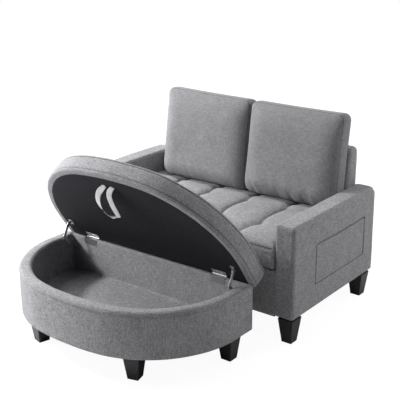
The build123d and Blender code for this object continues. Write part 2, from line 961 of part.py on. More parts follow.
# Every piece by name
nodes = {
    "front_rail_board": front_rail_board(),
    "rear_rail_board": rear_rail_board(),
    "side_rail_boards": side_rail_boards(),
    "centre_beam": centre_beam(),
    "long_straps": long_straps(),
    "cross_straps": cross_straps(),
    "base_dust_cover": dust_cover(),
    "front_rail_cover": front_rail_cover(),
    "back_frame": back_frame(),
    "backrest_cover": backrest_cover(),
    "seat_foam": seat_foam(),
    "seat_cover": seat_cover(),
    "leg_bolts": group(place * leg_bolt() for place in sofa_leg_places.values()),
    "arm_bolts": group(piece for y in arm_bolt_ys for piece in both_sides(arm_bolt(y))),
    "back_studs": group(both_sides(back_stud())),
}
for name, place in sofa_leg_places.items():
    nodes[name] = place * leg()
for side in ("left", "right"):
    pieces = {"frame": arm_frame(), "cover": arm_cover(), "pocket": side_pocket()}
    for name, piece in pieces.items():
        nodes[f"{side}_arm_{name}"] = mirror(piece, about=Plane.YZ) if side == "left" else piece
    nodes[f"{side}_back_cushion_fill"] = cushion_place(side) * cushion_core()
    nodes[f"{side}_back_cushion_cover"] = cushion_place(side) * (cushion_form() - cushion_core())

ottoman_nodes = {
    "ottoman_wall": ottoman_wall(),
    "ottoman_back_board": ottoman_back_board(),
    "ottoman_floor": ottoman_floor(),
    "ottoman_corner_blocks": ottoman_corner_blocks(),
    "ottoman_dust_cover": ottoman_dust_cover(),
    "ottoman_cover": ottoman_cover(),
    "ottoman_rim": ottoman_rim(),
    "ottoman_lining": ottoman_lining(),
    "ottoman_leg_bolts": group(place * leg_bolt() for place in ottoman_leg_places.values()),
    "hinge_base_leaves": group(side * hinge_base_leaf() for side in hinge_places),
    "hinge_pins": group(side * hinge_pin() for side in hinge_places),
    "hinge_base_screws": group(
        side * place * screw(screw_length) for side in hinge_places for place in base_screw_places()
    ),
    "stay_wall_brackets": group(both_sides(stay_wall_bracket())),
    "stay_wall_screws": group(
        piece for place in stay_screw_places() for piece in both_sides(place * screw(stay_screw_length))
    ),
    "left_stay_arm": mirror(stay_arm(), about=Plane.YZ),
    "right_stay_arm": stay_arm(),
    "left_stay_link": mirror(stay_link(), about=Plane.YZ),
    "right_stay_link": stay_link(),
}
for name, place in ottoman_leg_places.items():
    ottoman_nodes[name] = place * leg()
for name, piece in ottoman_nodes.items():
    nodes[name] = ottoman * piece

lid_nodes = {
    "lid_board": lid_board_piece(),
    "lid_foam": lid_foam_piece(),
    "lid_cover": lid_cover(),
    "lid_panel": lid_panel(),
    "lid_pull_loop": pull_loop(),
    "hinge_lid_leaves": group(side * hinge_lid_leaf() for side in hinge_places),
    "hinge_lid_screws": group(
        side * place * screw(screw_length) for side in hinge_places for place in lid_screw_places()
    ),
    "stay_lid_brackets": group(both_sides(stay_lid_bracket())),
    "stay_lid_screws": group(
        piece
        for place in stay_flange_screw_places()
        for piece in both_sides(place * screw(screw_length))
    ),
}
for name, piece in lid_nodes.items():
    nodes[name] = ottoman * lid_turn * piece

os.makedirs("parts", exist_ok=True)
for name, piece in nodes.items():
    export_step(piece, f"parts/{name}.step")
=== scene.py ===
import json
import math

import bpy
import numpy as np
from mathutils import Matrix, Vector


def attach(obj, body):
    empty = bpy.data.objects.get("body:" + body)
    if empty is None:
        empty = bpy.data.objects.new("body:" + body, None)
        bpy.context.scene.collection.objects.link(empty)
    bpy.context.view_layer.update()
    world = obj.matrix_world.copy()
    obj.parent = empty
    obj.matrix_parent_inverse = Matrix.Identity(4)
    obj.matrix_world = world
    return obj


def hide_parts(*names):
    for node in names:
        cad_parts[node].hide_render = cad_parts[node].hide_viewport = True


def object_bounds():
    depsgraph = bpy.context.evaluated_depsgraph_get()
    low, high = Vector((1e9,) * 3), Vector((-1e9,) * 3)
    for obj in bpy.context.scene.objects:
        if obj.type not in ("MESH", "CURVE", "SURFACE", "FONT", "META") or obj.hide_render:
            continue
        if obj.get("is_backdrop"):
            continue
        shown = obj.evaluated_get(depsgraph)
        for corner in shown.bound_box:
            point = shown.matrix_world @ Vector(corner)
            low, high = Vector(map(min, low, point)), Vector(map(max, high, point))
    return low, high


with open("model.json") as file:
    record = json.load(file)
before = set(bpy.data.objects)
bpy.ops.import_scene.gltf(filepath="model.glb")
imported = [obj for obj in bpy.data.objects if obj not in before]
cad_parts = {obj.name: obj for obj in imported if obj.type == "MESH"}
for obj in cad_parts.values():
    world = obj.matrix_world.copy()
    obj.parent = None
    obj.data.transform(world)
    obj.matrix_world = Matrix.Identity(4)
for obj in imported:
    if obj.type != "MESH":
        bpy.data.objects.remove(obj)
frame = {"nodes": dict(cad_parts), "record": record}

cadBox = [list(corner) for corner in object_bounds()]
print("OK frame loaded")

# Metres throughout, in the row's own frame: +Z up, +Y to the back of the sofa.

# Shared shapes
def softNoise(points, size, seed):
    q = np.asarray(points, float) / size + seed * 7.31
    base = np.floor(q)
    f = q - base
    f = f * f * (3 - 2 * f)
    total = np.zeros(len(q))
    for corner in range(8):
        step = np.array([corner & 1, corner >> 1 & 1, corner >> 2 & 1])
        key = base + step
        wave = np.sin(key @ np.array([127.1, 311.7, 74.7]) + seed) * 43758.5453
        value = wave - np.floor(wave)
        share = np.prod(np.where(step == 1, f, 1 - f), axis=1)
        total += value * share
    return total * 2 - 1


def addMesh(name, points, faces, material, body, hides=()):
    mesh = bpy.data.meshes.new(name)
    mesh.from_pydata(np.asarray(points).tolist(), [], [list(map(int, f)) for f in faces])
    mesh.validate()
    mesh.shade_smooth()
    mesh.materials.append(material)
    piece = bpy.data.objects.new(name, mesh)
    bpy.context.scene.collection.objects.link(piece)
    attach(piece, body)
    if hides:
        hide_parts(*hides)
    return piece


def gridFaces(rows, columns, closed):
    faces = []
    last = columns if closed else columns - 1
    for i in range(rows - 1):
        for j in range(last):
            k = (j + 1) % columns
            a, b = i * columns, (i + 1) * columns
            faces.append((a + j, a + k, b + k, b + j))
    return faces


def ticks(low, high, radius, step, extra):
    edge = radius * np.array([0, 0.12, 0.3, 0.52, 0.76, 1])
    count = max(2, int(round((high - low - 2 * radius) / step)) + 1)
    inner = np.linspace(low + radius, high - radius, count)
    inner = [v for v in inner if all(abs(v - e) > step * 0.3 for e in extra)]
    return np.unique(np.round(np.concatenate([low + edge, inner, high - edge, list(extra)]), 5))


def softBox(low, high, radius, step, extra=((), (), ())):
    """Points, faces and outward directions of a box whose edges are rounded."""
    low, high = np.array(low, float), np.array(high, float)
    axes = [ticks(low[i], high[i], radius, step, extra[i]) for i in range(3)]
    sizes = [len(a) for a in axes]
    weight = [sizes[1] * sizes[2], sizes[2], 1]
    quads = []
    for axis in range(3):
        a, b = (axis + 1) % 3, (axis + 2) % 3
        i, j = np.meshgrid(np.arange(sizes[a] - 1), np.arange(sizes[b] - 1), indexing="ij")
        i, j = i.ravel(), j.ravel()
        for side in (0, sizes[axis] - 1):
            corner = lambda di, dj: side * weight[axis] + (i + di) * weight[a] + (j + dj) * weight[b]
            loop = [corner(0, 0), corner(1, 0), corner(1, 1), corner(0, 1)]
            quads.append(np.stack(loop if side else loop[::-1], axis=1))
    quads = np.concatenate(quads)
    keys, inverse = np.unique(quads.ravel(), return_inverse=True)
    points = np.stack(
        [axes[0][keys // weight[0]], axes[1][keys // weight[1] % sizes[1]], axes[2][keys % sizes[2]]],
        axis=1,
    )
    inner = np.clip(points, low + radius, high - radius)
    away = points - inner
    length = np.linalg.norm(away, axis=1, keepdims=True)
    away = away / np.maximum(length, 1e-9)
    return inner + away * radius, inverse.reshape(-1, 4), away


def tube(points, radius, closed=False, sides=6):
    points = np.asarray(points, float)
    if closed:
        ahead, behind = np.roll(points, -1, 0), np.roll(points, 1, 0)
    else:
        ahead = np.vstack([points[1:], points[-1:]])
        behind = np.vstack([points[:1], points[:-1]])
    along = ahead - behind
    along /= np.linalg.norm(along, axis=1, keepdims=True)
    guide = np.where(np.abs(along[:, 2:3]) < 0.9, [[0, 0, 1.0]], [[1.0, 0, 0]])
    across = np.cross(along, guide)
    across /= np.linalg.norm(across, axis=1, keepdims=True)
    up = np.cross(across, along)
    turns = np.arange(sides) * 2 * math.pi / sides
    ring = [p + radius * (np.cos(turns)[:, None] * a + np.sin(turns)[:, None] * u)
            for p, a, u in zip(points, across, up)]
    verts = np.concatenate(ring)
    count = len(points)
    faces = gridFaces(count, sides, True)
    if closed:
        last = (count - 1) * sides
        faces += [(last + j, last + (j + 1) % sides, (j + 1) % sides, j) for j in range(sides)]
    else:
        faces += [tuple(range(sides))[::-1], tuple((count - 1) * sides + j for j in range(sides))]
    return verts, faces


def joinShapes(shapes):
    points, faces, start = [], [], 0
    for p, f in shapes:
        points.append(np.asarray(p))
        faces += [tuple(int(v) + start for v in face) for face in f]
        start += len(p)
    return np.concatenate(points), faces


# Colours and cloth
def nodeOf(tree, kind, **inputs):
    node = tree.nodes.new(kind)
    for name, value in inputs.items():
        if hasattr(node, name):
            setattr(node, name, value)
        else:
            node.inputs[name.replace("_", " ")].default_value = value
    return node


def makeWeaveGroup():
    group = bpy.data.node_groups.new("heatherWeave", "ShaderNodeTree")
    face = group.interface
    face.new_socket("Vector", in_out="INPUT", socket_type="NodeSocketVector")
    face.new_socket("Tone", in_out="OUTPUT", socket_type="NodeSocketFloat")
    face.new_socket("Height", in_out="OUTPUT", socket_type="NodeSocketFloat")
    entry, out = group.nodes.new("NodeGroupInput"), group.nodes.new("NodeGroupOutput")
    link = group.links.new
    total = None
    layers = (
        ((42, 290, 290), 1.0, 0.30), ((290, 42, 290), 1.0, 0.30), ((290, 290, 42), 1.0, 0.30),
        ((150, 900, 900), 1.0, 0.15), ((900, 150, 900), 1.0, 0.15), ((900, 900, 150), 1.0, 0.15),
        ((120, 120, 120), 1.0, 0.14), ((18, 18, 18), 2.0, 0.12),
    )
    for scale, detail, share in layers:
        spread = nodeOf(group, "ShaderNodeVectorMath", operation="MULTIPLY")
        spread.inputs[1].default_value = scale
        link(entry.outputs[0], spread.inputs[0])
        texture = nodeOf(group, "ShaderNodeTexNoise", Scale=1.0, Detail=detail, Roughness=0.6)
        link(spread.outputs[0], texture.inputs["Vector"])
        weighted = nodeOf(group, "ShaderNodeMath", operation="MULTIPLY")
        weighted.inputs[1].default_value = share
        link(texture.outputs["Fac"], weighted.inputs[0])
        if total is None:
            total = weighted
        else:
            added = nodeOf(group, "ShaderNodeMath", operation="ADD")
            link(total.outputs[0], added.inputs[0])
            link(weighted.outputs[0], added.inputs[1])
            total = added
    stretch = nodeOf(group, "ShaderNodeMapRange")
    stretch.inputs["From Min"].default_value = 0.64
    stretch.inputs["From Max"].default_value = 0.98
    link(total.outputs[0], stretch.inputs["Value"])
    link(stretch.outputs[0], out.inputs["Tone"])
    thread = nodeOf(group, "ShaderNodeTexNoise", Scale=900.0, Detail=1.0)
    link(entry.outputs[0], thread.inputs["Vector"])
    height = nodeOf(group, "ShaderNodeMath", operation="ADD")
    link(thread.outputs["Fac"], height.inputs[0])
    link(stretch.outputs[0], height.inputs[1])
    link(height.outputs[0], out.inputs["Height"])
    return group


weaveGroup = makeWeaveGroup()


def makeCloth(name, dark, light, roughness, sheen, bump):
    material = bpy.data.materials.new(name)
    material.use_nodes = True
    tree = material.node_tree
    link = tree.links.new
    shader = tree.nodes["Principled BSDF"]
    place = tree.nodes.new("ShaderNodeTexCoord")
    weave = tree.nodes.new("ShaderNodeGroup")
    weave.node_tree = weaveGroup
    link(place.outputs["Object"], weave.inputs["Vector"])
    mix = nodeOf(tree, "ShaderNodeMix", data_type="RGBA")
    mix.inputs[6].default_value = (*dark, 1)
    mix.inputs[7].default_value = (*light, 1)
    link(weave.outputs["Tone"], mix.inputs[0])
    link(mix.outputs[2], shader.inputs["Base Color"])
    relief = nodeOf(tree, "ShaderNodeBump", Strength=bump, Distance=0.0012)
    link(weave.outputs["Height"], relief.inputs["Height"])
    link(relief.outputs[0], shader.inputs["Normal"])
    shader.inputs["Roughness"].default_value = roughness
    shader.inputs["Specular IOR Level"].default_value = 0.25 if sheen else 0.1
    shader.inputs["Sheen Weight"].default_value = sheen
    shader.inputs["Sheen Roughness"].default_value = 0.5
    return material


def makeHard(name, colour, metallic, roughness, spread, grain, bump):
    material = bpy.data.materials.new(name)
    material.use_nodes = True
    tree = material.node_tree
    link = tree.links.new
    shader = tree.nodes["Principled BSDF"]
    place = tree.nodes.new("ShaderNodeTexCoord")
    scaled = nodeOf(tree, "ShaderNodeVectorMath", operation="MULTIPLY")
    scaled.inputs[1].default_value = grain
    link(place.outputs["Object"], scaled.inputs[0])
    texture = nodeOf(tree, "ShaderNodeTexNoise", Scale=1.0, Detail=3.0)
    link(scaled.outputs[0], texture.inputs["Vector"])
    rough = nodeOf(tree, "ShaderNodeMapRange")
    rough.inputs["To Min"].default_value = roughness - spread
    rough.inputs["To Max"].default_value = roughness + spread
    link(texture.outputs["Fac"], rough.inputs["Value"])
    link(rough.outputs[0], shader.inputs["Roughness"])
    mix = nodeOf(tree, "ShaderNodeMix", data_type="RGBA")
    mix.inputs[6].default_value = (*[c * 0.8 for c in colour], 1)
    mix.inputs[7].default_value = (*[c * 1.2 for c in colour], 1)
    link(texture.outputs["Fac"], mix.inputs[0])
    link(mix.outputs[2], shader.inputs["Base Color"])
    relief = nodeOf(tree, "ShaderNodeBump", Strength=bump, Distance=0.0008)
    link(texture.outputs["Fac"], relief.inputs["Height"])
    link(relief.outputs[0], shader.inputs["Normal"])
    shader.inputs["Metallic"].default_value = metallic
    return material


finish = {
    "clothDark": (0.128, 0.127, 0.134),
    "clothLight": (0.428, 0.424, 0.442),
    "plainDark": (0.138, 0.137, 0.144),
    "plainLight": (0.306, 0.304, 0.317),
    # The seam tones are painted shade: the shadow that falls in seam and crease lines
    "seamDark": (0.050, 0.050, 0.053),
    "seamLight": (0.095, 0.095, 0.099),
    "panelDark": (0.0205, 0.0198, 0.0238),
    "panelLight": (0.0360, 0.0350, 0.0412),
    "webDark": (0.41, 0.41, 0.418),
    "webLight": (0.63, 0.63, 0.638),
    "legColour": (0.011, 0.011, 0.0115),
    "steelColour": (0.44, 0.44, 0.45),
    "woodColour": (0.42, 0.30, 0.18),
}
cloth = makeCloth("greyHeather", finish["clothDark"], finish["clothLight"], 0.95, 0.12, 0.35)
plainCloth = makeCloth("softGreyHeather", finish["plainDark"], finish["plainLight"], 0.95, 0.12, 0.3)
# Dark tone for the seam, crease and pocket-edge tubes: painted shade standing for the shadow in those lines
paintedSeamShade = makeCloth("seamShade", finish["seamDark"], finish["seamLight"], 0.95, 0.0, 0.2)
panelCloth = makeCloth("blackPanelCloth", finish["panelDark"], finish["panelLight"], 0.95, 0.0, 0.2)
webCloth = makeCloth("webbing", finish["webDark"], finish["webLight"], 0.8, 0.1, 0.4)
legFinish = makeHard("blackLeg", finish["legColour"], 0.0, 0.42, 0.08, (60, 60, 9), 0.12)
steelFinish = makeHard("zincSteel", finish["steelColour"], 1.0, 0.46, 0.1, (120, 900, 900), 0.1)
woodFinish = makeHard("plainWood", finish["woodColour"], 0.0, 0.7, 0.1, (20, 90, 90), 0.25)
foamFinish = makeHard("foam", (0.8, 0.76, 0.62), 0.0, 0.9, 0.05, (300, 300, 300), 0.3)
print("OK materials")

# Hard pieces keep their built form and only take a finish
slotFinish = {
    "leg_wood": legFinish, "steel": steelFinish, "frame_wood": woodFinish,
    "panel_cloth": panelCloth, "webbing": webCloth, "foam": foamFinish, "fabric": cloth,
    "lining_cloth": cloth,
}
slotOf = {part["node"]: part["material_slot"] for part in frame["record"]["subparts"]}
for nodeName, node in frame["nodes"].items():
    node.data.materials.clear()
    node.data.materials.append(slotFinish[slotOf[nodeName]])
    node.data.shade_flat()

# Sizes shared by the soft pieces
sofa = {"width": 1.420, "depth": 0.780, "front": -0.0045, "armWidth": 0.106, "armHeight": 0.582, "floor": 0.122}
halfWidth = sofa["width"] / 2
innerHalf = halfWidth - sofa["armWidth"]
rearY = sofa["front"] + sofa["depth"]
backY = rearY - 0.140

# Arms with their side pockets
arm = {
    "edge": 0.017, "step": 0.011, "puff": 0.0018, "seam": 0.0009,
    "pocketFront": 0.1925, "pocketLength": 0.470, "pocketBottom": 0.244, "pocketTop": 0.440,
    "mouth": 0.009, "pocketDepth": 0.0075, "patch": 0.0022, "pocketShade": 0.0013, "rearRound": 0.034,
}


def armSwell(points, side):
    y, z = points[:, 1], points[:, 2]
    middle = np.minimum(y - sofa["front"], rearY - y) / 0.1
    wave = softNoise(points, 0.11, 3 + side) * 0.6 + softNoise(points, 0.045, 5 + side) * 0.25
    bottom = np.clip((z - sofa["floor"]) / 0.02, 0, 1)
    return arm["puff"] * (np.clip(middle, 0, 1) * 0.6 + wave) * bottom


# The upper rear corners are rounder than the other edges
def roundRear(points):
    sideways = points[:, 0] - (innerHalf + halfWidth) / 2
    beyond = [
        np.abs(sideways) - (halfWidth - innerHalf) / 2, points[:, 1] - rearY, points[:, 2] - sofa["armHeight"],
    ]
    beyond = np.maximum(np.stack(beyond, axis=1) + arm["rearRound"], 0)
    length = np.maximum(np.linalg.norm(beyond, axis=1, keepdims=True), arm["rearRound"])
    share = np.clip(beyond[:, 1:].min(axis=1, keepdims=True) / (0.6 * arm["rearRound"]), 0, 1)
    pull = beyond * (1 - arm["rearRound"] / length) * share
    pull[:, 0] *= np.sign(sideways)
    return points - pull


def buildArm(side):
    name = "left" if side < 0 else "right"
    low = [innerHalf, sofa["front"], sofa["floor"]]
    high = [halfWidth, rearY, sofa["armHeight"]]
    y0, y1 = arm["pocketFront"], arm["pocketFront"] + arm["pocketLength"]
    z0, z1 = arm["pocketBottom"], arm["pocketTop"] + arm["mouth"]
    wall = 0.0006
    extra = ((), (y0 - wall, y0, y1, y1 + wall), (z0 - wall, z0, z1, z1 + wall))
    points, faces, away = softBox(low, high, arm["edge"], arm["step"], extra)
    y, z = points[:, 1], points[:, 2]
    inside = (y > y0 - 1e-5) & (y < y1 + 1e-5) & (z > z0 - 1e-5) & (z < z1 + 1e-5) & (away[:, 0] > 0.99)
    points = points + away * armSwell(points, side)[:, None]
    points[inside, 0] -= arm["pocketDepth"]
    points = roundRear(points)
    points[:, 0] *= side
    if side < 0:
        faces = faces[:, ::-1]
    addMesh(name + "Arm", points, faces, cloth, "sofa", [name + "_arm_cover"])

    hem = 0.0008
    patchLow = [halfWidth - arm["pocketDepth"] + 0.0003, y0 + hem, z0 + hem]
    patchHigh = [halfWidth - 0.0002, y1 - hem, arm["pocketTop"]]
    points, faces, away = softBox(patchLow, patchHigh, 0.0016, 0.012)
    across = (points[:, 1] - y0) / (y1 - y0)
    upward = np.clip((points[:, 2] - z0) / (patchHigh[2] - z0), 0, 1)
    sag = np.sin(math.pi * np.clip(across, 0, 1)) * upward**2
    points[:, 2] -= 0.0035 * sag * (away[:, 2] > -0.5)
    points[:, 0] += (away[:, 0] > 0.5) * (0.0014 * sag + 0.0006 * softNoise(points, 0.06, 9))
    points[:, 0] *= side
    if side < 0:
        faces = faces[:, ::-1]
    addMesh(name + "Pocket", points, faces, cloth, "sofa", [name + "_arm_pocket"])

    # Dark lines along the pocket's front, bottom and rear edges are painted shade: the shadow in the gap round the
    # pocket, thickest at the front
    corners = ((y0, z1 - 0.004), (y0, z0), (y1, z0), (y1, z1 - 0.004))
    for label, radius, (ya, za), (yb, zb) in zip(
        ("Front", "Bottom", "Rear"), (arm["pocketShade"], arm["pocketShade"] * 0.5, arm["pocketShade"] * 0.35), corners, corners[1:]
    ):
        line = np.array([(halfWidth, ya + (yb - ya) * t, za + (zb - za) * t) for t in np.linspace(0.01, 0.99, 30)])
        line[:, 0] += armSwell(line, side) + 0.0004
        line[:, 0] *= side
        points, faces = tube(line, radius)
        addMesh(name + "PocketShadeLine" + label, points, faces, paintedSeamShade, "sofa")

    lines = []
    inset = arm["edge"] * 0.3
    for x in (innerHalf + inset, halfWidth - inset):
        top = sofa["armHeight"] - inset
        front = sofa["front"] + inset
        run = [(x, front, z) for z in np.linspace(sofa["floor"] + 0.006, top - 0.01, 30)]
        run += [(x, front + 0.004, top - 0.003)]
        run += [(x, y, top) for y in np.linspace(sofa["front"] + 0.014, rearY - 0.014, 50)]
        run += [(x, rearY - inset - 0.004, top - 0.003)]
        run += [(x, rearY - inset, z) for z in np.linspace(top - 0.01, sofa["floor"] + 0.006, 30)]
        lines.append(tube(roundRear(np.array(run)) * (side, 1, 1), arm["seam"]))
    points, faces = joinShapes(lines)
    addMesh(name + "ArmSeams", points, faces, cloth, "sofa")


for side in (-1, 1):
    buildArm(side)
print("OK arms")

# Front rail under the seat, its cloth tucked behind the arms' rounded edges
rail = {"top": 0.354, "thick": 0.010, "edge": 0.0045, "tuckIn": 0.008}
points, faces, away = softBox(
    [-innerHalf - rail["tuckIn"], sofa["front"], sofa["floor"]],
    [innerHalf + rail["tuckIn"], sofa["front"] + rail["thick"], rail["top"]], rail["edge"], 0.014,
)
points += away * (0.0008 * softNoise(points, 0.09, 12))[:, None] * (points[:, 1:2] < 0.004)
addMesh("frontRail", points, faces, cloth, "sofa", ["front_rail_cover"])

# Dust cover stapled under the sofa
dust = {"rear": 0.638, "level": 0.1214, "wave": 0.0004, "moonInset": 0.007, "moonRear": -0.004}
xs = np.linspace(-innerHalf, innerHalf, 61)
ys = np.linspace(sofa["front"] + 0.006, dust["rear"], 32)
gridX, gridY = (g.ravel() for g in np.meshgrid(xs, ys))
wave = dust["wave"] * softNoise(np.column_stack([gridX, gridY, gridX * 0]), 0.12, 15)
points = np.column_stack([gridX, gridY, dust["level"] + wave])
faces = [f[::-1] for f in gridFaces(len(ys), len(xs), False)]
baseDust = addMesh("baseDustCover", points, faces, panelCloth, "sofa", ["base_dust_cover"])

# Backrest, leaning on its front face
back = {"edge": 0.028, "top": 0.776, "bend": 0.470, "lean": 0.053}
points, faces, away = softBox(
    [-innerHalf, rearY - 0.087, sofa["floor"]], [innerHalf, rearY, back["top"]], back["edge"], 0.013
)
square = points + away * back["edge"] * (1 / np.maximum(np.abs(away).max(axis=1), 1e-6) - 1)[:, None]
points = np.where(points[:, 2:] < sofa["floor"] + back["edge"], square, points)
frontShare = (rearY - points[:, 1]) / 0.087
leaning = np.clip((back["top"] - points[:, 2]) / (back["top"] - back["bend"]), 0, 1)
points[:, 1] -= back["lean"] * leaning * frontShare
points += away * (0.0015 * softNoise(points, 0.12, 21) + 0.0006 * softNoise(points, 0.05, 22))[:, None]
addMesh("backrest", points, faces, cloth, "sofa", ["backrest_cover"])
print("OK backrest")

# Seat with its tufts: five cells across and two and a half deep
seat = {
    "front": -0.0095, "bottom": 0.358, "seam": 0.456, "crown": 0.031, "columns": 5, "rowPitch": 0.233,
    "step": 0.0046, "edge": 0.011, "crease": 0.0170, "creaseWidth": 0.021, "tuft": 0.0150, "tuftWidth": 0.030,
    "groove": 0.0025, "rowDip": 0.0075, "bulge": 0.006, "fold": 0.0011, "heap": 0.003,
}


def seatBow(v):
    return 0.005 * np.sin(math.pi * (v % 1)) * np.where(v % 2 < 1, 1, 0.7)


def seatHeight(x, y):
    pitch = 2 * innerHalf / seat["columns"]
    u, v = (x + innerHalf) / pitch, (y - seat["front"]) / seat["rowPitch"]
    edge = np.minimum(np.minimum(x + innerHalf, innerHalf - x), y - seat["front"])
    pressed = 1 - 0.42 * np.clip((y - 0.515) / 0.04, 0, 1)
    rise = seat["crown"] * (1 - np.exp(-np.maximum(edge, 0) / 0.020)) * pressed
    nearX = (u - np.round(u)) * pitch
    nearY = (v - np.round(v)) * seat["rowPitch"]
    lineX = (np.round(u) > 0.5) & (np.round(u) < seat["columns"] - 0.5)
    lineY = np.round(v) > 0.5
    dx = np.abs(nearX + seatBow(v))
    crease = np.where(lineX, seat["crease"] * np.exp(-dx / seat["creaseWidth"]), 0)
    groove = np.where(lineX, seat["groove"] * np.exp(-((dx / 0.0035) ** 2)), 0)
    dip = np.where(lineY, seat["rowDip"] * np.exp(-((nearY / 0.048) ** 2)), 0) * np.where(v > 1.5, 0.25, 1)
    reach = np.hypot(nearX, nearY)
    tuft = np.where(lineX & lineY, seat["tuft"] * np.exp(-reach / seat["tuftWidth"]), 0) * np.where(v > 1.5, 0.6, 1)
    angle = np.arctan2(nearY, nearX)
    spokes = np.cos(angle * 7 + 0.8 * np.sin(np.round(u) * 5 + np.round(v) * 3))
    fold = seat["fold"] * spokes * np.exp(-((reach / 0.05) ** 2)) * np.clip(reach / 0.012, 0, 1)
    fold = np.where(lineX & lineY, fold, 0)
    lump = 0.0016 * softNoise(np.stack([x, y, x * 0], 1), 0.085, 31)
    lump += 0.0007 * softNoise(np.stack([x, y, x * 0], 1), 0.035, 32)
    heap = seat["heap"] * np.exp(-(((y - 0.505) / 0.026) ** 2)) * np.clip(edge / 0.03, 0, 1)
    return rise + heap - crease - groove - tuft - dip + fold + lump * np.clip(edge / 0.05, 0, 1)


points, faces, away = softBox(
    [-innerHalf + 0.0005, seat["front"], seat["bottom"]], [innerHalf - 0.0005, backY - 0.0005, seat["seam"]],
    seat["edge"], seat["step"],
)
x, y, z = points.T.copy()
topShare = np.clip((z - (seat["seam"] - 0.010)) / 0.010, 0, 1)
points[:, 2] += seatHeight(x, y) * topShare
middle = np.clip(1 - ((z - 0.405) / 0.046) ** 2, 0, 1)
front = np.clip(-away[:, 1], 0, 1)
lump = 1 + 0.35 * softNoise(points, 0.14, 33)
points[:, 1] -= seat["bulge"] * middle * front * lump
pinch = np.exp(-(((z - (seat["seam"] - 0.004)) / 0.005) ** 2)) * front
points[:, 1] += 0.002 * pinch
addMesh("seat", points, faces, cloth, "sofa", ["seat_cover"])
# Dark tubes along the seat's top and bottom front seams: painted shade in the seam lines
seatSeamShade = []
for level in (seat["seam"] - 0.001, seat["bottom"] + 0.008):
    line = [(xx, seat["front"] + 0.0005, level + (seatHeight(np.array([xx]), np.array([0.006]))[0] if level > 0.4 else 0) * 0.4)
            for xx in np.linspace(-innerHalf + 0.012, innerHalf - 0.012, 160)]
    seatSeamShade.append(tube(line, 0.0013))
points, faces = joinShapes(seatSeamShade)
addMesh("seatSeams", points, faces, paintedSeamShade, "sofa")
# Dark tubes along the tuft creases: painted shade in the crease bottoms
creases = []
for column in range(1, seat["columns"]):
    yy = np.arange(seat["front"] + 0.006, backY - 0.004, 0.006)
    xx = -innerHalf + column * 2 * innerHalf / seat["columns"] - seatBow((yy - seat["front"]) / seat["rowPitch"])
    zz = seat["seam"] + seatHeight(xx, yy) + 0.0006
    creases.append(tube(np.column_stack([xx, yy, zz]), 0.0015))
points, faces = joinShapes(creases)
addMesh("seatCreases", points, faces, paintedSeamShade, "sofa")
print("OK seat")

# Loose back cushions
pillow = {
    "width": 0.556, "height": 0.486, "boxing": 0.078, "crown": 0.044, "backCrown": 0.011, "corner": 0.032, "lowCorner": 0.044,
    "lip": 0.006, "cheek": 0.0055, "draw": 0.004, "taper": 0.006, "tuck": 0.030, "tuckHeight": 0.085,
    "reach": (0.115, 0.165, 0.105, 0.160), "power": (2.5, 4.2, 2.5, 2.5), "tilt": 0.008, "lean": 8.0, "restY": 0.6225, "restZ": 0.4728,
    "leftX": -0.2345, "rightX": 0.3255,
    "rings": 44, "around": 420,
}


def pillowOutline():
    half, top = pillow["width"] / 2, pillow["width"] / 2 - pillow["taper"]
    high, draw = pillow["height"], pillow["draw"]
    corners = [(half, 0), (top, high), (-top, high), (-half, 0)]
    points = []
    count = 24
    for i, corner in enumerate(corners):
        before = np.array(corners[i - 1], float)
        here = np.array(corner, float)
        after = np.array(corners[(i + 1) % 4], float)
        r = pillow["corner"] if here[1] else pillow["lowCorner"]
        a = here + (before - here) / np.linalg.norm(before - here) * r
        b = here + (after - here) / np.linalg.norm(after - here) * r
        for t in np.linspace(0, 1, count):
            points.append((1 - t) ** 2 * a + 2 * t * (1 - t) * (here * 0.82 + (a + b) / 2 * 0.18) + t * t * b)
    points.append(points[0])
    points = np.array(points)
    lengths = np.concatenate([[0], np.cumsum(np.linalg.norm(np.diff(points, axis=0), axis=1))])
    s = np.linspace(0, lengths[-1], pillow["around"] + 1)[:-1]
    even = np.stack([np.interp(s, lengths, points[:, k]) for k in (0, 1)], 1)
    x, z = even.T
    inX = draw * np.sin(math.pi * np.clip(z / high, 0, 1))
    inZ = draw * 0.7 * np.cos(math.pi / 2 * np.clip(x / half, -1, 1))
    even[:, 0] -= np.sign(x) * inX * np.clip((np.abs(x) - half * 0.7) / (half * 0.3), 0, 1)
    even[:, 1] -= inZ * np.clip((z - high * 0.7) / (high * 0.3), 0, 1)
    even[:, 1] += inZ * 0.4 * np.clip((high * 0.3 - z) / (high * 0.3), 0, 1)
    return even


